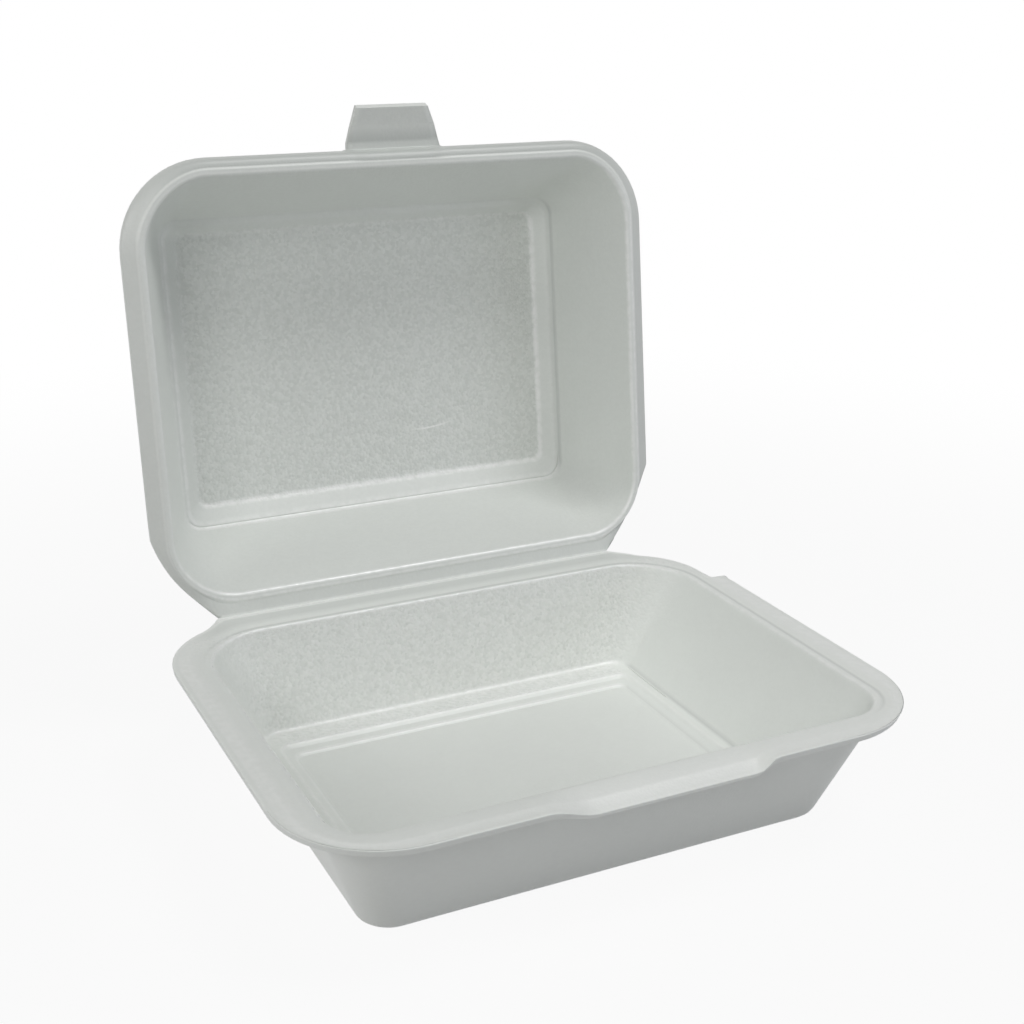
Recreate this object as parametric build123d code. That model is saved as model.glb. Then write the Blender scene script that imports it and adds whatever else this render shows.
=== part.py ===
from build123d import *
import math
import os

# A foam clamshell container: one sheet of expanded polystyrene, thermoformed open.
# The tray stands on z = 0, and the middle of its rim outline is over the origin.
# X runs along the hinge, Y from the front rim to the hinge, Z up. Sizes are in millimetres.
# The tray and the lid are two solids because the lid swings on the pressed crease.

# Foam sheet
sheet = 2.2
gap = 0.3
edge_round = 0.9
overrun = 8.0
same_height = 0.01

# Tray rim, seen from above
rim_width = 191.0
rim_depth = 148.5
tray_height = 39.2
rim_front_radius = 31.4
rim_rear_radius = 29.6
side_land = 11.5
front_land = 11.0
rear_land = 9.8

mouth_front_radius = 13.0
mouth_rear_radius = 22.0

# Groove pressed in the rim beside the mouth
groove_width = 1.7
groove_depth = 0.6
groove_from_mouth = 0.9

# Tray inside, each inset measured from the rim outline
foot_side = 28.5
foot_front = 24.9
foot_rear = 14.2
foot_height = 4.4
foot_radius = 9.0
ledge_side = 32.3
ledge_front = 29.0
ledge_rear = 23.9
ledge_height = 4.0
ledge_radius = 6.0
floor_side = 35.9
floor_front = 32.6
floor_rear = 28.6
floor_radius = 4.0
fold_round = 1.0

# Tray outside, each inset measured from the rim outline
base_side = 23.4
base_front = 23.1
base_rear = 12.2
neck_front_radius = 15.0
neck_rear_radius = 18.0
base_radius = 13.0
base_round = 4.5

# Thumb notch, a dish in the front rim
notch_left = 31.5
notch_right = 36.5
notch_left_ease = 12.5
notch_right_ease = 5.5
notch_depth = 3.0
notch_run = 5.6

# Trimmed right rear corner of the tray rim
trim_start = 41.0
trim_side = 5.6
trim_radius = 26.5

# Pressed crease and the thin strips on both sides of it
crease_from_rim = 3.85
crease_left_inset = 22.8
crease_right_inset = 25.5
strip = 1.5
web = 0.8
strip_root = 7.0
flare_left = 6.0
flare_right = 4.5

# Lid rim, in the lid's own frame: v runs from the crease to the tab, w outward from the mating plane
lid_half = 90.6
lid_length = 143.8
lid_tab_radius = 27.5
lid_hinge_radius = 27.0
lid_mouth_side = 8.0
lid_mouth_tab = 8.0
lid_mouth_hinge = 6.8
bead = 1.9
skirt_drop = 4.6
lid_strip_root = 15.0
lid_strip_slope = 0.28
chamfer_side = 24.0
chamfer_left_side = 20.0

# Lid inside, each inset measured from the lid outline
lid_foot_side = 18.8
lid_foot_tab = 19.3
lid_foot_hinge = 21.3
lid_foot_depth = 36.6
lid_ledge_side = 20.6
lid_ledge_tab = 21.5
lid_ledge_hinge = 22.6
lid_ledge_depth = 37.2
lid_panel_side = 25.4
lid_panel_tab = 24.4
lid_panel_hinge = 28.4
lid_depth = 40.4
lid_open = 97.35

# Closing tab, moulded in one with the lid
tab_middle = -0.6
tab_tip_shift = -1.4
tab_root_half = 16.5
tab_tip_half = 12.6
tab_reach = 13.9
tab_lift = 5.0
tab_root_depth = 2.0
tab_fold_from_rim = 2.6
tab_fold_width = 1.4
tab_fold_depth = 0.7

# Worked out places
crease_y = rim_depth / 2 + crease_from_rim
crease_left = -rim_width / 2 + crease_left_inset
crease_right = rim_width / 2 - crease_right_inset
side_wall = sheet / math.cos(math.atan((foot_side - side_land) / (tray_height - foot_height)))
front_wall = sheet / math.cos(math.atan((foot_front - front_land) / (tray_height - foot_height)))
rear_wall = sheet / math.cos(math.atan((foot_rear - rear_land) / (tray_height - foot_height)))
lid_wall = sheet / math.cos(math.atan((lid_foot_side - lid_mouth_side) / lid_foot_depth))


def ring(half_width, front, rear, front_radius, rear_radius, height):
    """A flat outline with round corners, at one height."""
    outline = Pos(0, (front + rear) / 2, height) * Rectangle(2 * half_width, rear - front)
    outline = fillet(outline.vertices().group_by(Axis.Y)[0], front_radius)
    return fillet(outline.vertices().group_by(Axis.Y)[-1], rear_radius)


def tray_ring(side, front, rear, radius, height):
    """A tray outline with the given insets from the rim outline."""
    return ring(rim_width / 2 - side, -rim_depth / 2 + front, rim_depth / 2 - rear, radius, radius, height)


def lid_ring(side, tab, hinge, tab_radius, hinge_radius, depth):
    """A lid outline with the given insets, in the closed pose."""
    return ring(lid_half - side, crease_y - lid_length + tab, crease_y - hinge,
                tab_radius, hinge_radius, tray_height + depth)


def stack(rings):
    """A solid with straight sides from each ring to the next."""
    return loft(rings, ruled=True)


def level_edges(shape, height):
    """The edges of a shape that lie flat at one height."""
    return [edge for edge in shape.edges()
            if abs(edge.bounding_box().min.Z - height) < same_height
            and abs(edge.bounding_box().max.Z - height) < same_height]


def rounded(shape, height, radius):
    """The shape with its level edges at one height rounded."""
    return fillet(level_edges(shape, height), radius)


def along_x(points, start, end):
    """A prism along X from start to end, with its section given as (y, z) points."""
    face = make_face(Polyline(*[(start, y, z) for y, z in points], close=True))
    return extrude(face, end - start, dir=(1, 0, 0))


def along_y(points, start, end):
    """A prism along Y from start to end, with its section given as (x, z) points."""
    face = make_face(Polyline(*[(x, start, z) for x, z in points], close=True))
    return extrude(face, end - start, dir=(0, 1, 0))


def upright(points, bottom, top):
    """A prism along Z from bottom to top, with its outline given as (x, y) points."""
    face = make_face(Polyline(*[(x, y, bottom) for x, y in points], close=True))
    return extrude(face, top - bottom, dir=(0, 0, 1))


def mouth_ring(shrink, height):
    """The mouth of the tray, moved inward by the given amount."""
    return ring(rim_width / 2 - side_land - shrink,
                -rim_depth / 2 + front_land + shrink,
                rim_depth / 2 - rear_land - shrink,
                mouth_front_radius - shrink,
                mouth_rear_radius - shrink,
                height)


def tray_cavity():
    """The space inside the tray: floor, step, ledge, tapered wall and mouth."""
    wall_rise = tray_height - foot_height
    above = overrun / wall_rise
    space = stack([
        tray_ring(floor_side, floor_front, floor_rear, floor_radius, sheet),
        tray_ring(ledge_side, ledge_front, ledge_rear, ledge_radius, ledge_height),
        tray_ring(foot_side, foot_front, foot_rear, foot_radius, foot_height),
        mouth_ring(0, tray_height),
        ring(rim_width / 2 - side_land + (foot_side - side_land) * above,
             -rim_depth / 2 + front_land - (foot_front - front_land) * above,
             rim_depth / 2 - rear_land + (foot_rear - rear_land) * above,
             mouth_front_radius, mouth_rear_radius, tray_height + overrun),
    ])
    space = rounded(space, sheet, fold_round)
    return rounded(space, foot_height, fold_round)


def tray_rim():
    """The flat rim flange, with its trimmed corner."""
    bottom = tray_height - sheet
    flange = extrude(ring(rim_width / 2, -rim_depth / 2, rim_depth / 2,
                          rim_front_radius, rim_rear_radius, bottom), sheet)
    kept = extrude(ring(rim_width / 2 - trim_side, -rim_depth / 2, rim_depth / 2,
                        rim_front_radius, trim_radius, bottom - overrun), sheet + 2 * overrun)
    corner = upright([(0, trim_start), (rim_width, trim_start), (rim_width, rim_depth), (0, rim_depth)],
                     bottom - overrun, tray_height + overrun)
    flange = flange - (corner - kept)
    return rounded(flange, tray_height, edge_round)


def rim_groove():
    """The ring of foam that is pressed out beside the mouth."""
    outer = -groove_from_mouth - groove_width
    ring_out = extrude(mouth_ring(outer, tray_height - groove_depth), overrun)
    ring_in = extrude(mouth_ring(-groove_from_mouth, tray_height - groove_depth), overrun)
    return ring_out - ring_in


def notch_span(lower):
    """The width of the thumb notch as a prism through the front rim, wider at the top."""
    above = overrun / notch_depth
    below = sheet / notch_depth
    return along_y([(-notch_left - notch_left_ease * above, tray_height - lower + overrun),
                    (-notch_left + notch_left_ease * (1 + below), tray_height - lower - notch_depth - sheet),
                    (notch_right - notch_right_ease * (1 + below), tray_height - lower - notch_depth - sheet),
                    (notch_right + notch_right_ease * above, tray_height - lower + overrun)],
                   -rim_depth / 2 - overrun, -rim_depth / 2 + notch_run + overrun)


def notch_slope(lower, start, end):
    """Points on the dished surface of the notch, lowered by the given amount."""
    fall = notch_depth / notch_run
    front = -rim_depth / 2
    return [(front + notch_run - start, tray_height - lower - fall * start),
            (front + notch_run - end, tray_height - lower - fall * end)]


def notch_cutter():
    """What the thumb notch takes off the top of the rim."""
    dish = along_x(notch_slope(0, 0, notch_run + overrun)
                   + [(-rim_depth / 2 - overrun, tray_height + overrun),
                      (-rim_depth / 2 + notch_run, tray_height + overrun)],
                   -rim_width / 2, rim_width / 2)
    return dish & notch_span(0)


def notch_lip():
    """The foam under the dish, which follows it one sheet lower."""
    plate = along_x(notch_slope(0, 0, notch_run) + notch_slope(sheet, notch_run, 0),
                    -rim_width / 2, rim_width / 2)
    return plate & notch_span(sheet)


def hinge_strip():
    """The strip of the tray that runs from the rear rim to the crease."""
    root_y = crease_y - strip_root
    outline = upright([(crease_left - flare_left, root_y), (crease_left, crease_y),
                       (crease_right, crease_y), (crease_right + flare_right, root_y)],
                      tray_height - sheet, tray_height)
    section = along_x([(root_y, tray_height - strip), (crease_y, tray_height - web),
                       (crease_y, tray_height), (root_y, tray_height)],
                      -rim_width / 2, rim_width / 2)
    return outline & section


def make_tray():
    """The tray with its rim, notch and hinge strip."""
    body = stack([
        tray_ring(base_side, base_front, base_rear, base_radius, 0),
        ring(rim_width / 2 - side_land + side_wall,
             -rim_depth / 2 + front_land - front_wall,
             rim_depth / 2 - rear_land + rear_wall,
             neck_front_radius, neck_rear_radius, tray_height - edge_round),
    ])
    body = rounded(body, 0, base_round)
    tray = body + tray_rim() + notch_lip() + hinge_strip()
    return tray - tray_cavity() - rim_groove() - notch_cutter()


def lid_cavity():
    """The space inside the lid: panel, step, ledge, tapered wall and mouth."""
    below = overrun / lid_foot_depth
    mouth_tab_radius = lid_tab_radius - lid_mouth_tab
    mouth_hinge_radius = lid_hinge_radius - lid_mouth_side
    space = stack([
        lid_ring(lid_mouth_side - (lid_foot_side - lid_mouth_side) * below,
                 lid_mouth_tab - (lid_foot_tab - lid_mouth_tab) * below,
                 lid_mouth_hinge - (lid_foot_hinge - lid_mouth_hinge) * below,
                 mouth_tab_radius, mouth_hinge_radius, -overrun),
        lid_ring(lid_mouth_side, lid_mouth_tab, lid_mouth_hinge, mouth_tab_radius, mouth_hinge_radius, 0),
        lid_ring(lid_foot_side, lid_foot_tab, lid_foot_hinge, foot_radius, foot_radius, lid_foot_depth),
        lid_ring(lid_ledge_side, lid_ledge_tab, lid_ledge_hinge, ledge_radius, ledge_radius, lid_ledge_depth),
        lid_ring(lid_panel_side, lid_panel_tab, lid_panel_hinge, floor_radius, floor_radius, lid_depth),
    ])
    return rounded(space, tray_height + lid_depth, fold_round)


def lid_skirt():
    """The rim of the lid, which slopes back from the bead around the mouth to its outer edge."""
    bead_side = lid_mouth_side - bead
    bead_tab = lid_mouth_tab - bead
    bead_hinge = lid_mouth_hinge - bead
    bead_tab_radius = lid_tab_radius - bead_tab
    bead_hinge_radius = lid_hinge_radius - bead_side
    return stack([
        lid_ring(bead_side, bead_tab, bead_hinge, bead_tab_radius, bead_hinge_radius, gap),
        lid_ring(0, 0, bead_hinge, lid_tab_radius, lid_hinge_radius, gap + skirt_drop),
        lid_ring(0, 0, bead_hinge, lid_tab_radius, lid_hinge_radius, gap + skirt_drop + sheet),
        lid_ring(bead_side, bead_tab, bead_hinge, bead_tab_radius, bead_hinge_radius, gap + 2 * sheet),
    ])


def lid_shell():
    """The outside of the lid above the mouth."""
    return stack([
        lid_ring(lid_mouth_side - lid_wall, lid_mouth_tab - lid_wall, lid_mouth_hinge - lid_wall,
                 lid_tab_radius - lid_mouth_tab + lid_wall, lid_hinge_radius - lid_mouth_side + lid_wall,
                 gap + sheet),
        lid_ring(lid_foot_side - lid_wall, lid_foot_tab - lid_wall, lid_foot_hinge - lid_wall,
                 base_radius, base_radius, lid_foot_depth),
        lid_ring(lid_panel_side - sheet, lid_panel_tab - sheet, lid_panel_hinge - sheet,
                 ledge_radius, ledge_radius, lid_depth + sheet),
    ])


def lid_strip():
    """The strip of the lid, which slopes back from the crease to meet the skirt at both corners."""
    root_y = crease_y - lid_strip_root
    rise = lid_strip_slope * lid_strip_root
    outline = upright([(crease_left, crease_y), (-lid_half, crease_y - chamfer_left_side),
                       (lid_half, crease_y - chamfer_side), (crease_right, crease_y)],
                      tray_height, tray_height + rise + sheet)
    section = along_x([(root_y, tray_height + rise), (crease_y, tray_height),
                       (crease_y, tray_height + web), (root_y, tray_height + rise + strip)],
                      -lid_half, lid_half)
    return outline & section


def corner_cutter(side, crease_end, chamfer):
    """What is trimmed off a corner of the lid beside the hinge."""
    edge = side * lid_half
    return upright([(crease_end, crease_y), (edge, crease_y - chamfer),
                    (edge + side * overrun, crease_y - chamfer), (edge + side * overrun, crease_y + overrun),
                    (crease_end, crease_y + overrun)],
                   tray_height - overrun, tray_height + lid_depth)


def closing_tab():
    """The tab beyond the front rim of the lid, leaning toward the mating side."""
    rim_y = crease_y - lid_length
    root_z = tray_height + gap + skirt_drop
    fall = tab_lift / tab_reach
    tip_middle = tab_middle + tab_tip_shift
    section = along_x([(rim_y + tab_root_depth, root_z), (rim_y, root_z),
                       (rim_y - tab_reach, root_z - tab_lift),
                       (rim_y - tab_reach, root_z - tab_lift + sheet),
                       (rim_y, root_z + sheet), (rim_y + tab_root_depth, root_z + sheet / 2)],
                      tab_middle - tab_root_half - overrun, tab_middle + tab_root_half + overrun)
    outline = upright([(tab_middle - tab_root_half, rim_y + tab_root_depth),
                       (tab_middle - tab_root_half, rim_y),
                       (tip_middle - tab_tip_half, rim_y - tab_reach),
                       (tip_middle + tab_tip_half, rim_y - tab_reach),
                       (tab_middle + tab_root_half, rim_y),
                       (tab_middle + tab_root_half, rim_y + tab_root_depth)],
                      root_z - tab_lift - overrun, root_z + overrun)
    fold_y = rim_y - tab_fold_from_rim
    fold_z = root_z - fall * tab_fold_from_rim
    fold = along_x([(fold_y + tab_fold_width / 2, fold_z - overrun), (fold_y, fold_z + tab_fold_depth),
                    (fold_y - tab_fold_width / 2, fold_z - overrun)],
                   tab_middle - tab_root_half - overrun, tab_middle + tab_root_half + overrun)
    return (section & outline) - fold


def make_lid():
    """The lid in its closed pose, then swung open about the crease."""
    lid = lid_skirt() + lid_shell() + lid_strip()
    lid = lid - corner_cutter(-1, crease_left, chamfer_left_side) - corner_cutter(1, crease_right, chamfer_side)
    lid = lid + closing_tab() - lid_cavity()
    return lid.rotate(Axis((0, crease_y, tray_height), (1, 0, 0)), -lid_open)


os.makedirs("parts", exist_ok=True)
export_step(make_tray(), "parts/tray.step")
export_step(make_lid(), "parts/lid.step")
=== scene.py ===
import math

import bmesh
import bpy
from mathutils import Matrix, Vector


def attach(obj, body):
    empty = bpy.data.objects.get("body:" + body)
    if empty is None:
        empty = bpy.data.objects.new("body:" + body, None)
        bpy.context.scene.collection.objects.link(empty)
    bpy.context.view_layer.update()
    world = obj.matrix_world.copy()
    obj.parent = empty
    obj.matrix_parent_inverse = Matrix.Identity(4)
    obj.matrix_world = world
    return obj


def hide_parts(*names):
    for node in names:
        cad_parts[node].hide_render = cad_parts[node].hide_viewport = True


# An open foam clamshell container: a stepped tray and a hinged lid with a closing tab.
# Lengths are in millimetres up to shell_object, which makes them metres. Angles are in degrees.

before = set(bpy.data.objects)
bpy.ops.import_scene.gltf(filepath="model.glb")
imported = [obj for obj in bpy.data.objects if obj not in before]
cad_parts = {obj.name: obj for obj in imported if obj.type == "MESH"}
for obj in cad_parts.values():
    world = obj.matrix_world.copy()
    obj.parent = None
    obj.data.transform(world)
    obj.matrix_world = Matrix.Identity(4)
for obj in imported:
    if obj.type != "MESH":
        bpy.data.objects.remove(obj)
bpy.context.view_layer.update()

MM = 0.001
SHEET, WEB = 2.2, 0.8                           # how thick the foam is, and how thick at the pressed crease
HALF, FRONT, REAR, TOP = 95.5, -74.25, 74.25, 39.2
CREASE_Y, CREASE_LEFT, CREASE_RIGHT = 78.1, -72.7, 70.0
ON_CREASE = 0.3                                 # what lies no further than this from the crease is on it
LID_HALF, LID_LENGTH, LID_OPEN = 90.6, 143.8, 97.35
LID_TAB_Y = CREASE_Y - LID_LENGTH
CORNER_STEPS, LONG_STEPS, SHORT_STEPS = 16, 72, 56
WIDEST_FOLD, FOLD_SEGMENTS = 5.0, 4             # a fold weight of 1 stands for the widest radius
LINE_WIDTH, LINE_SHARE = 1.6, 0.45              # from a fold with a painted line of light or shade to the loop beside it, at most

# Light and shade painted on the rims at the rear, right, left and front: a painted highlight, whiter and glossier,
# above 0, and painted shade, greyer, below 0
PAINTED_RIM_SHADE = (-0.3, -0.45, -0.25, -0.9)        # the lid's rim, in painted shade all round
PAINTED_STRIP_LIGHT_AND_SHADE = (-0.4, 0.2, 0.25, 0.1)          # the tray's rim, with the strip beside the crease at the rear: painted shade at the rear, a painted highlight on the other sides


def lerp(a, b, t):
    return a + (b - a) * t


def clamp(t):
    return min(max(t, 0.0), 1.0)


def ease(t):
    """0 to 1, level at both ends."""
    t = clamp(t)
    return t * t * (3 - 2 * t)


# Outlines: a place is a side or corner of the container and how far along it
CORNER_START = {"rear right": 0, "rear left": 90, "front left": 180, "front right": 270}
HINGE_SIDE = ("rear", "rear left", "rear right")


def outline_places():
    """The places round one loop, anticlockwise from the right side's front end."""
    places = []
    for side, steps in (("right", SHORT_STEPS), ("rear right", CORNER_STEPS), ("rear", LONG_STEPS),
                        ("rear left", CORNER_STEPS), ("left", SHORT_STEPS), ("front left", CORNER_STEPS),
                        ("front", LONG_STEPS), ("front right", CORNER_STEPS)):
        places += [(side, i / steps) for i in range(steps)]
    return places


PLACES = outline_places()


def on_outline(place, half, front, rear, front_radius, rear_radius):
    """Where a place lies on a rectangle with round corners."""
    side, t = place
    if side == "right":
        return half, lerp(front + front_radius, rear - rear_radius, t)
    if side == "left":
        return -half, lerp(rear - rear_radius, front + front_radius, t)
    if side == "rear":
        return lerp(half - rear_radius, -half + rear_radius, t), rear
    if side == "front":
        return lerp(-half + front_radius, half - front_radius, t), front
    radius = rear_radius if "rear" in side else front_radius
    x = half - radius if "right" in side else -half + radius
    y = rear - radius if "rear" in side else front + radius
    turn = math.radians(CORNER_START[side] + 90 * t)
    return x + radius * math.cos(turn), y + radius * math.sin(turn)


def loop_at(half, front, rear, side_in, front_in, rear_in, front_radius, rear_radius, height):
    """One loop of points, moved in from the outer edge of the rim."""
    return [Vector((*on_outline(place, half - side_in, front + front_in, rear - rear_in,
                                front_radius, rear_radius), height)) for place in PLACES]


def tray_loop(*shape):
    return loop_at(HALF, FRONT, REAR, *shape)


def lid_loop(side_in, tab_in, hinge_in, tab_radius, hinge_radius, depth):
    return loop_at(LID_HALF, LID_TAB_Y, CREASE_Y, side_in, tab_in, hinge_in,
                   tab_radius, hinge_radius, TOP + depth)


def between(inner, outer, t, rise=0.0):
    """A loop between two others, lifted a little."""
    return [a.lerp(b, t) + Vector((0, 0, rise)) for a, b in zip(inner, outer)]


def by_side(place, rear, right, left, front):
    """A value that each side has of its own, and that turns into the next side's round the corner."""
    values = {"rear": rear, "right": right, "left": left, "front": front}
    side, t = place
    if side in values:
        return values[side]
    first, last = {"rear right": (right, rear), "rear left": (rear, left), "front left": (left, front),
                   "front right": (front, right)}[side]
    return lerp(first, last, ease(t))


def raised(loop, *heights):
    """A loop lifted by a height of its own at the rear, right, left and front."""
    return [point + Vector((0, 0, by_side(place, *heights))) for point, place in zip(loop, PLACES)]


def beside(loop, other):
    """A loop close to a fold, on the way to the next one."""
    return [a + (b - a).normalized() * min(LINE_WIDTH, LINE_SHARE * (b - a).length)
            for a, b in zip(loop, other)]


def with_narrow_painted_lines(parts):
    """Puts a loop close to each side of every fold that carries a painted line of light or shade, so that the line
    stays narrow.
    The rims are painted as a band, which stays as wide as it is."""
    lines = []
    for k, (loop, radius, light_and_shade_paint) in enumerate(parts):
        if light_and_shade_paint and light_and_shade_paint not in (PAINTED_RIM_SHADE, PAINTED_STRIP_LIGHT_AND_SHADE):
            lines += [(beside(loop, parts[k - 1][0]), 0, 0), (loop, radius, light_and_shade_paint),
                      (beside(loop, parts[k + 1][0]), 0, 0)]
        else:
            lines.append((loop, radius, light_and_shade_paint))
    return lines


def snap_nearest(loop, sides, x, y):
    """Moves the point of a loop that is nearest in x, on the given sides, to a corner of the outline."""
    near = min((i for i, place in enumerate(PLACES) if place[0] in sides), key=lambda i: abs(loop[i].x - x))
    loop[near].x, loop[near].y = x, y


def snap_to_crease(loop):
    """Puts a point of a loop on each end of the crease."""
    snap_nearest(loop, ("rear", "rear left"), CREASE_LEFT, CREASE_Y)
    snap_nearest(loop, ("rear", "rear right"), CREASE_RIGHT, CREASE_Y)


# Shells
def shell(parts):
    """A closed mesh: a circle of edges takes the form of the first loop, and is extruded to each next one.
    Each part is a loop, the radius of its fold, and the light and shade painted along it at the rear, right, left
    and front:
    a painted highlight, whiter and glossier, above 0, and painted shade, greyer, below 0."""
    bm = bmesh.new()
    order = bm.verts.layers.int.new("order")
    light_and_shade_paint = bm.verts.layers.float.new("light_and_shade_paint")
    bm.verts.layers.float.new("pebble")
    fold = bm.edges.layers.float.new("bevel_weight_edge")
    ring = bmesh.ops.create_circle(bm, cap_ends=False, radius=1, segments=len(PLACES))["verts"]
    for i, vert in enumerate(ring):
        vert[order] = i
    edges = list(bm.edges)
    first = edges
    for k, (loop, radius, paint_by_side) in enumerate(with_narrow_painted_lines(parts)):
        if k:
            made = bmesh.ops.extrude_edge_only(bm, edges=edges)["geom"]
            ring = sorted((g for g in made if isinstance(g, bmesh.types.BMVert)), key=lambda v: v[order])
            edges = [g for g in made if isinstance(g, bmesh.types.BMEdge)
                     and all(v in set(ring) for v in g.verts)]
        for vert, point, place in zip(ring, loop, PLACES):
            vert.co = point
            # the light and shade painted along this loop
            vert[light_and_shade_paint] = by_side(place, *paint_by_side) if paint_by_side else 0
        for edge in edges:
            edge[fold] = radius / WIDEST_FOLD
    for rim in (first, edges):
        bmesh.ops.contextual_create(bm, geom=rim)
    bmesh.ops.recalc_face_normals(bm, faces=bm.faces)
    return bm


def finish_edges(bm, keeps_flat):
    """Takes the round fold from the edges that lie too close together for it, and keeps the crease sharp."""
    fold = bm.edges.layers.float["bevel_weight_edge"]
    for edge in bm.edges:
        if keeps_flat([v.co for v in edge.verts]):
            edge[fold] = 0
        edge.smooth = any(v.co.y < CREASE_Y - ON_CREASE for v in edge.verts)


def mesh_of(name, bm, material):
    mesh = bpy.data.meshes.new(name)
    bm.to_mesh(mesh)
    bm.free()
    mesh.materials.append(material)
    return mesh


def scene_object(name, data):
    made = bpy.data.objects.new(name, data)
    bpy.context.scene.collection.objects.link(made)
    return made


def shell_object(name, bm, body, material):
    """Makes the mesh a piece of the scene, in metres, with round folds."""
    bmesh.ops.scale(bm, vec=(MM, MM, MM), verts=bm.verts)
    mesh = mesh_of(name, bm, material)
    mesh.shade_smooth()
    piece = scene_object(name, mesh)
    round_folds = piece.modifiers.new("round folds", "BEVEL")
    round_folds.limit_method = "WEIGHT"
    round_folds.offset_type = "OFFSET"
    round_folds.width = WIDEST_FOLD * MM
    round_folds.segments = FOLD_SEGMENTS
    round_folds.use_clamp_overlap = False
    flat_walls = piece.modifiers.new("flat walls", "WEIGHTED_NORMAL")
    flat_walls.keep_sharp = True
    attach(piece, body)
    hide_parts(body)
    return piece


# Tray
RIM_FRONT_RADIUS, RIM_REAR_RADIUS = 31.4, 29.6
TRIM_Y, TRIM_IN, TRIM_RADIUS = 41.0, 5.6, 26.5      # the trimmed right rear corner
TRIM_START, TRIM_END = (HALF - 0.2, TRIM_Y - 0.4), (HALF - TRIM_IN + 0.5, TRIM_Y + 0.1)
NOTCH_LEFT, NOTCH_RIGHT, NOTCH_LEFT_EASE, NOTCH_RIGHT_EASE = -32.5, 37.0, 15.0, 6.0
NOTCH_DEPTH, NOTCH_RUN, NOTCH_BOW = 3.6, 11.0, 1.3
NOTCH_LEAN = 0.35                                   # how far the wall under the notch leans in, for its drop
FLARE_LEFT, FLARE_RIGHT, FLARE_END, FLARE_RISE = 1.13, 0.9, 6.8, 6.0
EDGE_CUT, LEFT_EDGE_CUT = 0.6, 0.3                  # how far the rim's edge slopes in on its way down
MOUTH_IN = 9.5                                      # what lies further in than this is inside the mouth
STRIP_START = REAR + 1                              # from here to the crease there is no room for round folds
TRIM_ZONE_X, TRIM_ZONE_Y = HALF - 8, 3              # nor is there beside the trim's two ends


def tray_outer_loop(inset, height, crease_height):
    """The outer edge of the tray's rim: trimmed at the right rear, drawn out to the crease at the rear."""
    loop = tray_loop(inset, inset, inset, RIM_FRONT_RADIUS, RIM_REAR_RADIUS, height)
    trimmed = tray_loop(TRIM_IN + inset, inset, inset, RIM_FRONT_RADIUS, TRIM_RADIUS, height)
    behind = [i for i, place in enumerate(PLACES) if place[0] in ("right", "rear right") and loop[i].y > TRIM_Y]
    for i in behind:
        loop[i] = trimmed[i]
    loop[behind[0] - 1].xy = TRIM_START
    loop[behind[0]].xy = TRIM_END
    for point, place in zip(loop, PLACES):
        if place[0] in HINGE_SIDE:
            beyond = (max(CREASE_LEFT - point.x, 0) * FLARE_LEFT
                      + max(point.x - CREASE_RIGHT, 0) * FLARE_RIGHT)
            if beyond < FLARE_END and CREASE_Y - beyond > point.y:
                point.y = CREASE_Y - beyond
                point.z = lerp(height, crease_height, ease(1 - beyond / FLARE_RISE))
    snap_to_crease(loop)
    return loop


def notch_drop(x, y):
    """How far the thumb notch presses the rim down at a point."""
    across = ease((x - NOTCH_LEFT) / NOTCH_LEFT_EASE) * ease((NOTCH_RIGHT - x) / NOTCH_RIGHT_EASE)
    along = clamp((FRONT + NOTCH_RUN - y) / NOTCH_RUN)
    return NOTCH_DEPTH * across * along ** NOTCH_BOW


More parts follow.
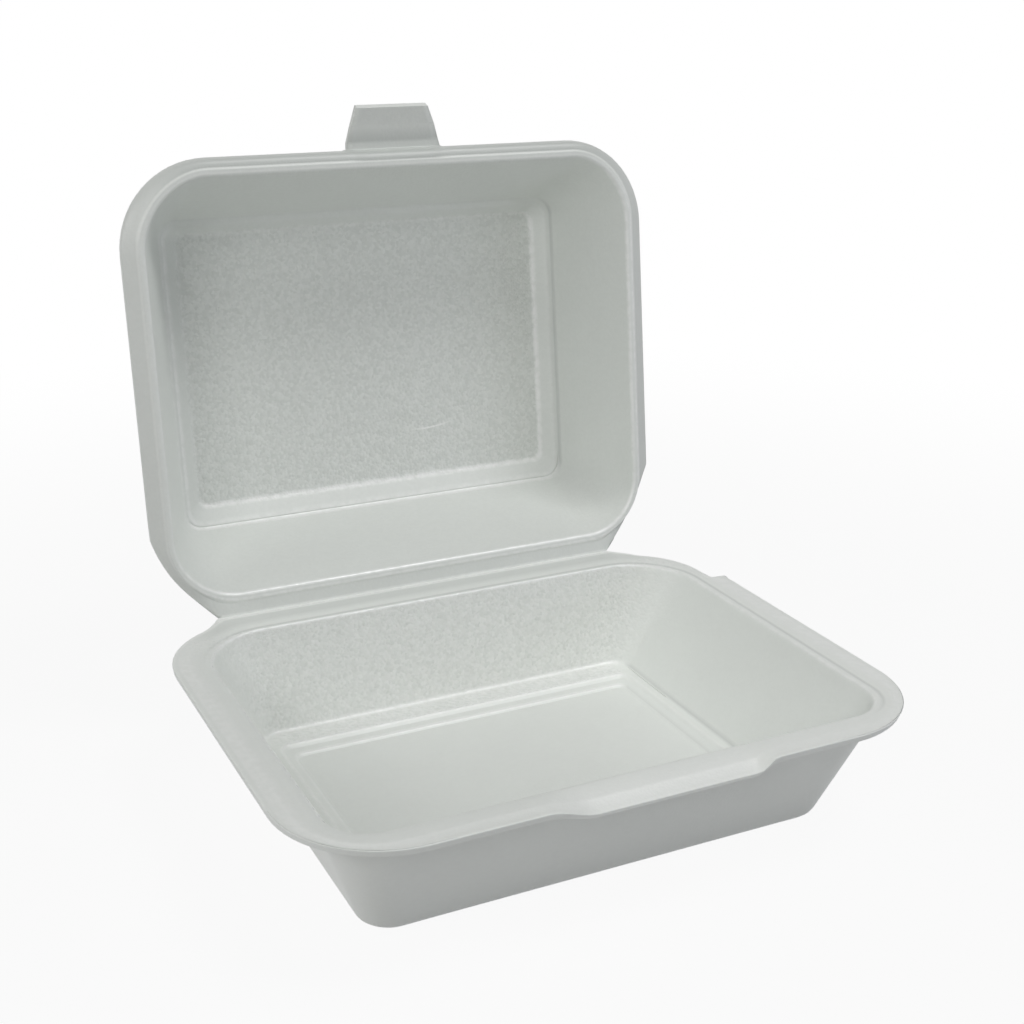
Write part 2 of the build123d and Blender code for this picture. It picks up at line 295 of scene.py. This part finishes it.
def make_tray(material):
    outer = tray_outer_loop(0, TOP - 0.2, TOP)
    lower = tray_outer_loop(EDGE_CUT, TOP - 2.4, TOP - WEB)
    for point, place in zip(lower, PLACES):
        point.x -= by_side(place, 0, 0, EDGE_CUT - LEFT_EDGE_CUT, 0)
    foot = tray_loop(28.5, 24.9, 14.2, 7.0, 7.0, 4.2)
    crest = tray_loop(11.5, 11.0, 9.8, 13.0, 22.0, TOP)
    groove_end = tray_loop(7.5, 7.0, 5.8, 16.2, 25.4, TOP)
    neck = tray_loop(9.6, 9.1, 7.7, 15.0, 18.0, TOP - 2.2)
    # The last number or row of each part is the light and shade painted along its loop: a painted highlight on the
    # beads and folds, painted shade in the groove and on the right of the foot
    parts = [
        # the floor and the stepped foot
        (tray_loop(38.5, 35.2, 31.2, 2.0, 2.0, SHEET), 0, 0),
        (tray_loop(36.5, 33.2, 29.2, 3.0, 3.0, SHEET), 0.2, 0),
        (raised(tray_loop(35.9, 32.6, 28.5, 3.0, 3.0, 2.4), 0.5, 0.1, 0.1, 0), 0.3, (0.9, -0.2, 0.3, 0)),
        (raised(tray_loop(33.4, 30.1, 25.2, 3.6, 3.6, 3.5), -0.2, 0, 0, 0), 0.3, 0),
        (raised(tray_loop(32.3, 29.0, 23.9, 4.0, 4.0, 4.0), 0.5, 0.2, 0.2, 0), 0.4, (1.0, 0.2, 0.4, 0)),
        (foot, 1.2, (1.0, -0.6, 0.3, 0)),
        # the wall, the bead round the mouth and the groove beside it
        (between(foot, crest, 0.9), 0, 0),
        (raised(crest, 0.2, -0.1, -0.45, -0.45), 0.9, (1.0, 0.4, 0.5, 0.1)),
        (raised(tray_loop(9.2, 8.6, 7.6, 14.9, 24.0, TOP - 0.1), -0.3, -0.35, 0, 0), 0.3, (-0.7, -0.6, 0, 0)),
        (groove_end, 0.3, 0),
        # the rim, its edge and its underside
        (between(groove_end, outer, 0.34, 0.15), 0.4, PAINTED_STRIP_LIGHT_AND_SHADE),
        (between(groove_end, outer, 0.55), 0, PAINTED_STRIP_LIGHT_AND_SHADE),
        (between(groove_end, outer, 0.72), 0, PAINTED_STRIP_LIGHT_AND_SHADE),
        (raised(between(groove_end, outer, 0.88), 0, 0.03, 0.03, 0.03), 0, (0.9, 0, 0, 0)),
        (outer, 0.45, 0),
        (lower, 0.5, 0),
        (between(lower, neck, 0.3), 0, 0),
        (between(lower, neck, 0.65), 0, 0),
        (neck, 1.6, 0),
        # the outside of the wall, and the base
        (tray_loop(23.6, 23.4, 12.2, 9.0, 13.0, 0), 3.0, 0),
        (tray_loop(31.0, 31.0, 20.0, 7.0, 7.0, 0), 0, 0),
    ]
    bm = shell(parts)
    order, pebble, light_and_shade_paint = (bm.verts.layers.int["order"], bm.verts.layers.float["pebble"],
                            bm.verts.layers.float["light_and_shade_paint"])
    for vert in bm.verts:
        x, y, z = vert.co
        if 4 < z < TOP + 0.4 and y < REAR - MOUTH_IN and abs(x) < HALF - MOUTH_IN:
            vert[pebble] = by_side(PLACES[vert[order]], 1, 0, 0, 0)
        # a painted highlight along the crease
        if y > CREASE_Y - ON_CREASE and z > TOP - 0.3:
            vert[light_and_shade_paint] = 0.8
        if z > 30 and y < FRONT + NOTCH_RUN:
            drop = notch_drop(x, y)
            vert.co.z -= drop
            if z < TOP - 1.7:
                vert.co.y += NOTCH_LEAN * drop
    finish_edges(bm, lambda ends: all(end.y > STRIP_START for end in ends)
                 or all(end.x > TRIM_ZONE_X and abs(end.y - TRIM_Y) < TRIM_ZONE_Y for end in ends))
    return shell_object("tray_shell", bm, "tray", material)


# Lid, modelled shut and then swung open about the crease
SKIRT = 4.9                                         # how deep the rim's edge is turned over
CREST_DEPTH = 0.3
CHAMFER_LEFT, CHAMFER_LEFT_END = 18.5, 9.0          # how far the cut beside the hinge runs, and how much it bends
CHAMFER_RIGHT, CHAMFER_RIGHT_END = 20.5, 8.0
SKIRT_RUN, WEB_RUN = 22.0, 12.0                     # from the crease to the full skirt and the full sheet
TAB_LEFT, TAB_RIGHT = -15.9, 16.3
TAB_MIDDLE = (TAB_LEFT + TAB_RIGHT) / 2
# Out, up, narrower, to the right, and how much of the rim's painted shade is left
TAB_STEPS = ((2.4, 0.4, 0.97, -0.1, 1.0), (5.0, -1.8, 0.91, -0.5, 0.0), (6.5, -2.9, 0.85, -1.1, 0.0))
TAB_END_SLOPE, TAB_END_FOLD = (0, 1.0, 0.2), 0.2
# the pad under the tab: its half width, ease, rise and painted shade
PAD_HALF, PAD_EASE, PAD_RISE, PAD_PAINTED_SHADE = 16.0, 4.0, 0.25, 0.2
NARROW_LEFT, NARROW_TAB = 1.6, 2.2                  # how much narrower the rim is on these sides
CREASE_LIFT = 0.05                                  # keeps the shells apart at the crease
LID_STRIP_START = CREASE_Y - 4                      # from here to the crease there is no room for round folds


def mouth_loop(*shape):
    """A lid loop beside the rim, moved out where the rim is narrower."""
    return [point - Vector((by_side(place, 0, 0, NARROW_LEFT, 0), by_side(place, 0, 0, 0, NARROW_TAB), 0))
            for point, place in zip(lid_loop(*shape), PLACES)]


def lid_outer_loop(depth, thickness):
    """The outer edge of the lid's rim, chamfered beside the hinge and drawn out to the crease."""
    loop = lid_loop(0, 0, 4.9, 28.5, 27.0, depth)
    for point, place in zip(loop, PLACES):
        if place[0] in HINGE_SIDE:
            left = max(CREASE_LEFT - point.x, 0) / (LID_HALF + CREASE_LEFT)
            right = max(point.x - CREASE_RIGHT, 0) / (LID_HALF - CREASE_RIGHT)
            away = (CHAMFER_LEFT * left + CHAMFER_LEFT_END * left ** 5
                    + CHAMFER_RIGHT * right + CHAMFER_RIGHT_END * right ** 3)
            point.y = CREASE_Y - away
            point.z = (TOP + CREASE_LIFT + depth * clamp(away / SKIRT_RUN)
                       + lerp(WEB, SHEET, ease(away / WEB_RUN)) * thickness)
        else:
            point.z += SHEET * thickness
    snap_to_crease(loop)
    for x in (TAB_LEFT, TAB_RIGHT):
        snap_nearest(loop, ("front",), x, LID_TAB_Y)
    return loop


def pull_tab(bm):
    """The closing tab, extruded from the edge of the rim in steps: out to its fold, and then leaning down
    towards the tray when the lid is shut."""
    edge_faces = [f for f in bm.faces
                  if f.calc_center_median().y < LID_TAB_Y + 0.05 and abs(f.normal.y) > 0.9
                  and TAB_LEFT < f.calc_center_median().x < TAB_RIGHT]
    light_and_shade_paint = bm.verts.layers.float["light_and_shade_paint"]
    for out, lift, narrow, shift, painted_shade_kept in TAB_STEPS:
        made = bmesh.ops.extrude_face_region(bm, geom=edge_faces)["geom"]
        verts = [g for g in made if isinstance(g, bmesh.types.BMVert)]
        bmesh.ops.delete(bm, geom=edge_faces, context="FACES")
        edge_faces = [g for g in made if isinstance(g, bmesh.types.BMFace)]
        bmesh.ops.translate(bm, verts=verts, vec=(shift, -out, lift))
        bmesh.ops.scale(bm, verts=verts, vec=(narrow, 1, 1), space=Matrix.Translation((-TAB_MIDDLE, 0, 0)))
        # how much of the rim's painted shade each step keeps
        for vert in verts:
            vert[light_and_shade_paint] *= painted_shade_kept
    near_side = sorted(verts, key=lambda v: v.co.z)[:len(verts) // 2]
    bmesh.ops.translate(bm, verts=near_side, vec=TAB_END_SLOPE)
    fold = bm.edges.layers.float["bevel_weight_edge"]
    for edge in {e for f in edge_faces for e in f.edges}:
        edge[fold] = TAB_END_FOLD / WIDEST_FOLD


def make_lid(material):
    outer = lid_outer_loop(SKIRT, 0)
    back = lid_outer_loop(SKIRT, 1)
    foot = raised(lid_loop(18.8, 19.3, 21.3, 6.5, 6.5, 36.6), 0, 0.45, -0.9, 0.1)
    mouth = mouth_loop(8.0, 8.0, 6.8, 19.5, 19.0, CREST_DEPTH)
    crest = mouth_loop(6.1, 6.1, 4.9, 21.4, 20.9, CREST_DEPTH)
    neck = mouth_loop(7.3, 7.3, 6.1, 20.2, 19.7, 5.2)
    # The last number or row of each part is the light and shade painted along its loop: a painted highlight on the
    # panel's edge, the foot and the mouth, and painted shade on the right of the foot, round the rim and beside the
    # tab
    parts = [
        # the panel and the stepped foot
        (lid_loop(28.0, 27.0, 31.0, 2.0, 2.0, 40.4), 0, 0),
        (raised(lid_loop(25.4, 24.4, 28.4, 3.0, 3.0, 40.4), -0.35, -0.35, -0.1, -0.1), 0.4, (1.0, 0.9, 0.2, 0.25)),
        (raised(lid_loop(20.6, 21.5, 22.6, 5.0, 5.0, 37.2), 0, 0, -0.7, 0), 0.4, (0.3, 0.1, 0.5, 0)),
        (foot, 0.8, (1.0, -0.8, 0.3, -0.1)),
        # the wall and the bead round the mouth
        (between(foot, mouth, 0.92), 0, 0),
        (mouth, 0.8, (1.0, 0.6, 0.1, 0)),
        (raised(crest, -0.1, -0.05, 0, 0), 0.25, (0.6, 0.4, -0.1, -0.3)),
        # the rim, which is flatter on the tab's side, its edge and its back
        (raised(between(crest, outer, 0.22), 0.3, 0.3, 0.1, -0.6), 0.15, PAINTED_RIM_SHADE),
        (raised(between(crest, outer, 0.55), 0, 0, -0.3, -1.9), 0, PAINTED_RIM_SHADE),
        (raised(between(crest, outer, 0.82), 0, 0, -0.2, -2.3), 0, PAINTED_RIM_SHADE),
        (outer, 0.5, PAINTED_RIM_SHADE),
        (back, 0.6, 0),
        (between(back, neck, 0.5), 0, 0),
        (neck, 1.6, 0),
        # the outside of the foot, and the top
        (lid_loop(16.5, 17.0, 19.0, 13.0, 13.0, 36.6), 2.0, 0),
        (lid_loop(23.2, 22.2, 26.2, 7.0, 7.0, 42.6), 1.8, 0),
        (lid_loop(27.0, 26.0, 30.0, 3.0, 3.0, 42.6), 0, 0),
    ]
    bm = shell(parts)
    pebble, light_and_shade_paint = bm.verts.layers.float["pebble"], bm.verts.layers.float["light_and_shade_paint"]
    for vert in bm.verts:
        x, y, z = vert.co
        if 39.9 < z - TOP < 40.5:
            vert[pebble] = 1
        # a painted highlight along the crease
        if y > CREASE_Y - 0.5 and z < TOP + CREST_DEPTH:
            vert[light_and_shade_paint] = 0.6
        # the pad under the tab is pushed in a little and given painted shade
        if LID_TAB_Y + 1 < y < LID_TAB_Y + 3.4 and z < TOP + 5:
            pad = ease((PAD_HALF - abs(x - TAB_MIDDLE)) / PAD_EASE)
            vert.co.z -= PAD_RISE * pad
            vert[light_and_shade_paint] -= PAD_PAINTED_SHADE * pad
    finish_edges(bm, lambda ends: all(end.y > LID_STRIP_START for end in ends))
    pull_tab(bm)
    bmesh.ops.rotate(bm, verts=bm.verts, cent=(0, CREASE_Y, TOP),
                     matrix=Matrix.Rotation(math.radians(-LID_OPEN), 3, "X"))
    return shell_object("lid_shell", bm, "lid", material)


# Materials
def linear(colour):
    """An sRGB hex colour as linear values."""
    parts = [int(colour[i:i + 2], 16) / 255 for i in (1, 3, 5)]
    return [c / 12.92 if c <= 0.04045 else ((c + 0.055) / 1.055) ** 2.4 for c in parts] + [1.0]


def add(tree, kind, inputs=(), **settings):
    """Adds a node with its settings, and its inputs as values or as links."""
    node = tree.nodes.new(kind)
    for name, value in settings.items():
        setattr(node, name, value)
    for name, value in dict(inputs).items():
        if isinstance(value, bpy.types.NodeSocket):
            tree.links.new(value, node.inputs[name])
        else:
            node.inputs[name].default_value = value
    return node


def new_material(name):
    material = bpy.data.materials.new(name)
    material.use_nodes = True
    material.node_tree.nodes.clear()
    return material, material.node_tree


def math_node(tree, operation, *values):
    return add(tree, "ShaderNodeMath", dict(enumerate(values)), operation=operation).outputs[0]


def map_range(tree, value, low, high, start, end, **settings):
    """What runs from low to high, made to run from start to end."""
    return add(tree, "ShaderNodeMapRange", {"Value": value, "From Min": low, "From Max": high,
                                            "To Min": start, "To Max": end}, **settings).outputs[0]


def noise(tree, place, size, detail):
    """Noise with clumps of a size in millimetres."""
    return add(tree, "ShaderNodeTexNoise", {"Vector": place, "Scale": 1 / (size * MM),
                                            "Detail": detail}).outputs["Fac"]


def mix_colour(tree, share, colour, other):
    return add(tree, "ShaderNodeMix", {0: share, 6: colour, 7: other}, data_type="RGBA").outputs[2]


CELL_MM = 0.95                                  # a foam cell, flattened at the skin
GRAIN_MM = 0.5                                  # wrinkles in the skin of each cell
CLOUD_MM = 14.0                                 # uneven foaming
PAINTED_GLINT_MM = 2.2                                  # breaks in the painted highlight along a fold, which make painted glints
PAINTED_GLINT_NOISE, PAINTED_GLINT_STRENGTH = (0.38, 0.62), (0.65, 1.6)
RELIEF_MM, RELIEF_STRENGTH = 0.2, 0.8
PRESSED_SHARE = 0.2                             # how much the cells still show where the mould presses
GRAIN_SHARE, CLOUD_SHARE = 0.5, 0.3
SATIN, GLASSY = 0.42, 0.2                       # roughness of the skin and of a fold with a painted highlight
POLYSTYRENE_IOR = 1.59
# the foam's own uneven tone, the colour of painted shade, and the colour of painted highlights
CLOUD_COLOUR, PAINTED_SHADE_COLOUR, PAINTED_HIGHLIGHT_COLOUR = "#E5E8E4", "#C6CAC6", "#FEFFFD"
SCUFF_X, SCUFF_Y, SCUFF_BOW, SCUFF_MIDDLE = 17.5, 32.83, 0.010, 22.0
SCUFF_EDGES, SCUFF_ENDS, SCUFF_HEIGHTS = (0.12, 0.45), (3, 8.5), (41.2, 41.4)
TABLE_FADE, TABLE_WHITE, TABLE_GREY = (0.2, 0.6), (0.93, 1.0), "#C8C8C8"


def fade_out(tree, value, limits):
    """1 up to the first limit and 0 from the second one on."""
    return map_range(tree, value, limits[0] * MM, limits[1] * MM, 1, 0)


def scuff(tree, place):
    """A short curved scuff on the inside of the lid, measured on the shut lid."""
    shut = add(tree, "ShaderNodeVectorRotate", {
        "Vector": place, "Center": (0, CREASE_Y * MM, TOP * MM), "Angle": math.radians(LID_OPEN)},
        rotation_type="X_AXIS").outputs[0]
    x, y, z = add(tree, "ShaderNodeSeparateXYZ", {0: shut}).outputs
    across = math_node(tree, "ABSOLUTE", math_node(tree, "SUBTRACT", x, SCUFF_X * MM))
    bow = math_node(tree, "MULTIPLY", math_node(tree, "POWER", across, 2.0), SCUFF_BOW / MM)
    line = math_node(tree, "ADD", math_node(tree, "SUBTRACT", y, SCUFF_Y * MM), bow)
    middle = math_node(tree, "SUBTRACT", x, SCUFF_MIDDLE * MM)
    near = fade_out(tree, math_node(tree, "ABSOLUTE", line), SCUFF_EDGES)
    ends = fade_out(tree, math_node(tree, "ABSOLUTE", middle), SCUFF_ENDS)
    inside = fade_out(tree, math_node(tree, "SUBTRACT", z, TOP * MM), SCUFF_HEIGHTS)
    return math_node(tree, "MULTIPLY", math_node(tree, "MULTIPLY", near, ends), inside)


def thermoformed_polystyrene_foam(name, pale_skin, dark_skin, painted_glint_share, scuffed=False):
    """Expanded polystyrene sheet, extruded with closed cells and thermoformed: a white satin skin that shows its
    cells as a fine pebble grain where the mould left it free. Painted highlights make it whiter and glossier along
    folds and on single cells, and painted shade makes it greyer in grooves and on rims."""
    material, tree = new_material(name)
    place = add(tree, "ShaderNodeTexCoord").outputs["Object"]
    light_and_shade_paint = add(tree, "ShaderNodeAttribute", attribute_name="light_and_shade_paint").outputs["Fac"]
    pebble = add(tree, "ShaderNodeAttribute", attribute_name="pebble").outputs["Fac"]
    cells = add(tree, "ShaderNodeTexVoronoi", {"Vector": place, "Scale": 1 / (CELL_MM * MM)})
    cell_tone, cell_painted_glint, _ = add(tree, "ShaderNodeSeparateColor", {0: cells.outputs["Color"]}).outputs

    # whiter and glossier: painted highlights along folds, broken into painted glints, painted glints on single
    # cells, and the scuff
    painted_glint_breaks = map_range(tree, noise(tree, place, PAINTED_GLINT_MM, 1.0), *PAINTED_GLINT_NOISE, *PAINTED_GLINT_STRENGTH)
    lines = math_node(tree, "MULTIPLY", math_node(tree, "MAXIMUM", light_and_shade_paint, 0.0), painted_glint_breaks)
    painted_cell_glints = math_node(tree, "MULTIPLY", math_node(tree, "MULTIPLY", cell_painted_glint, pebble), painted_glint_share)
    painted_highlights_and_scuff = math_node(tree, "MAXIMUM", lines, painted_cell_glints)
    if scuffed:
        painted_highlights_and_scuff = math_node(tree, "MAXIMUM", painted_highlights_and_scuff, scuff(tree, place))
    # painted shade where the paint is below 0
    painted_shade = math_node(tree, "MAXIMUM", math_node(tree, "MULTIPLY", light_and_shade_paint, -1.0), 0.0)

    # domed cells with wrinkles, fainter where the mould pressed the skin
    domes = math_node(tree, "MULTIPLY", cells.outputs["Distance"], -1.0)
    pebbles = math_node(tree, "MULTIPLY_ADD", noise(tree, place, GRAIN_MM, 2.0), GRAIN_SHARE, domes)
    free = math_node(tree, "MULTIPLY_ADD", pebble, 1 - PRESSED_SHARE, PRESSED_SHARE)
    bump = add(tree, "ShaderNodeBump", {"Strength": RELIEF_STRENGTH, "Distance": RELIEF_MM * MM,
                                        "Height": math_node(tree, "MULTIPLY", pebbles, free)})

    clouds = math_node(tree, "MULTIPLY", noise(tree, place, CLOUD_MM, 3.0), CLOUD_SHARE)
    skin = mix_colour(tree, math_node(tree, "MULTIPLY", cell_tone, free), linear(pale_skin), linear(dark_skin))
    foam = mix_colour(tree, clouds, skin, linear(CLOUD_COLOUR))
    # painted shade greys the foam; painted highlights and the scuff whiten it
    dark = mix_colour(tree, painted_shade, foam, linear(PAINTED_SHADE_COLOUR))
    pale = mix_colour(tree, painted_highlights_and_scuff, dark, linear(PAINTED_HIGHLIGHT_COLOUR))
    shader = add(tree, "ShaderNodeBsdfPrincipled", {
        "Base Color": pale, "Roughness": map_range(tree, painted_highlights_and_scuff, 0, 1, SATIN, GLASSY), "IOR": POLYSTYRENE_IOR,
        "Normal": bump.outputs[0]})
    add(tree, "ShaderNodeOutputMaterial", {"Surface": shader.outputs[0]})
    return material


def seen_as_background(tree):
    """1 where the camera sees a surface, itself or in a reflection, and 0 where the surface lights the container."""
    path = add(tree, "ShaderNodeLightPath").outputs
    mirrored = math_node(tree, "MAXIMUM", path["Is Glossy Ray"], path["Is Transmission Ray"])
    return math_node(tree, "MAXIMUM", path["Is Camera Ray"], mirrored)


def studio_floor():
    """A matt white table that reads as the white background, and keeps the container's soft shadow."""
    material, tree = new_material("matt_white_table")
    away = add(tree, "ShaderNodeVectorMath", {0: add(tree, "ShaderNodeTexCoord").outputs["Object"]},
               operation="LENGTH").outputs["Value"]
    fade = map_range(tree, away, *TABLE_FADE, *TABLE_WHITE, interpolation_type="SMOOTHSTEP")
    share = math_node(tree, "MULTIPLY", seen_as_background(tree), fade)
    paint = add(tree, "ShaderNodeBsdfDiffuse", {"Color": linear(TABLE_GREY)})
    white = add(tree, "ShaderNodeEmission", {"Color": (1, 1, 1, 1), "Strength": 1.0})
    mix = add(tree, "ShaderNodeMixShader", {0: share, 1: paint.outputs[0], 2: white.outputs[0]})
    add(tree, "ShaderNodeOutputMaterial", {"Surface": mix.outputs[0]})
    return material


def studio_world(level):
    """An even grey studio that reads white behind the container."""
    world = bpy.data.worlds.new("studio")
    bpy.context.scene.world = world
    world.use_nodes = True
    tree = world.node_tree
    tree.nodes.clear()
    room, white = [add(tree, "ShaderNodeBackground", {"Color": (1, 1, 1, 1), "Strength": strength}).outputs[0]
                   for strength in (level, 1.0)]
    mix = add(tree, "ShaderNodeMixShader", {0: seen_as_background(tree), 1: room, 2: white})
    add(tree, "ShaderNodeOutputWorld", {"Surface": mix.outputs[0]})


# Studio, in metres but for the camera
TABLE_HALF = 4.0
ROOM_LEVEL = 0.09
LAMP_AIM = (0, 0.03, 0.05)
LAMPS = (                                       # place, size, watts and colour
    ("overhead", (0.36, -0.25, 1.0), 0.4, 4.0, "#FFFFFF"),
    ("front_left", (-0.7, -0.8, 0.7), 0.5, 3.5, "#FFFFFF"),
    ("left", (-1.0, 0.1, 0.5), 0.5, 2.1, "#FFFFFF"),
    ("front_right", (0.6, -0.45, 0.12), 0.3, 0.5, "#E8ECFF"),
)
CAMERA_LEFT, CAMERA_DOWN, CAMERA_ROLL = 26.4, 19.70, 0.485
CAMERA_TARGET, CAMERA_DISTANCE, CAMERA_ASIDE, CAMERA_UP = (0, 31.67, 47.5), 484.3, 8.23, 30.2
SENSOR, FOCAL_PIXELS, PHOTO_PIXELS = 36, 1548, 1024


def make_table():
    bm = bmesh.new()
    bmesh.ops.create_grid(bm, x_segments=1, y_segments=1, size=TABLE_HALF)
    return scene_object("table", mesh_of("table", bm, studio_floor()))


def softbox(name, place, size, watts, colour):
    light = bpy.data.lights.new(name, "AREA")
    light.shape = "RECTANGLE"
    light.size = light.size_y = size
    light.energy = watts
    light.color = linear(colour)[:3]
    lamp = scene_object(name, light)
    lamp.location = place
    lamp.rotation_euler = (Vector(LAMP_AIM) - Vector(place)).to_track_quat("-Z", "Y").to_euler()


def make_camera():
    """The photograph's camera: turned 26.4 degrees to the left and 19.7 degrees down."""
    turn, down, roll = (math.radians(angle) for angle in (-CAMERA_LEFT, CAMERA_DOWN, CAMERA_ROLL))
    look = Vector((-math.sin(turn) * math.cos(down), math.cos(turn) * math.cos(down), -math.sin(down)))
    level = Vector((math.cos(turn), math.sin(turn), 0))
    upright = level.cross(look)
    right = math.cos(roll) * level + math.sin(roll) * upright
    up = -math.sin(roll) * level + math.cos(roll) * upright
    spot = Vector(CAMERA_TARGET) - look * CAMERA_DISTANCE + right * CAMERA_ASIDE + up * CAMERA_UP
    data = bpy.data.cameras.new("camera")
    data.sensor_width = SENSOR
    data.lens = SENSOR * FOCAL_PIXELS / PHOTO_PIXELS
    data.clip_start = 0.01
    camera = scene_object("camera", data)
    camera.matrix_world = Matrix.Translation(spot * MM) @ Matrix((right, up, -look)).transposed().to_4x4()
    bpy.context.scene.camera = camera


# The last number is the share of painted glints on single cells. The lid's skin colours are darker than the tray's:
# painted shade over the whole lid
make_tray(thermoformed_polystyrene_foam("thermoformed_polystyrene_foam", "#F1F4F0", "#E8EBE7", 0.6))
make_lid(thermoformed_polystyrene_foam("thermoformed_polystyrene_foam_shaded_and_scuffed", "#EAEDE9", "#DADED9", 0.08,
                                       scuffed=True))
table = make_table()
studio_world(ROOM_LEVEL)
for lamp in LAMPS:
    softbox(*lamp)
make_camera()
bpy.context.scene.view_settings.view_transform = "Standard"
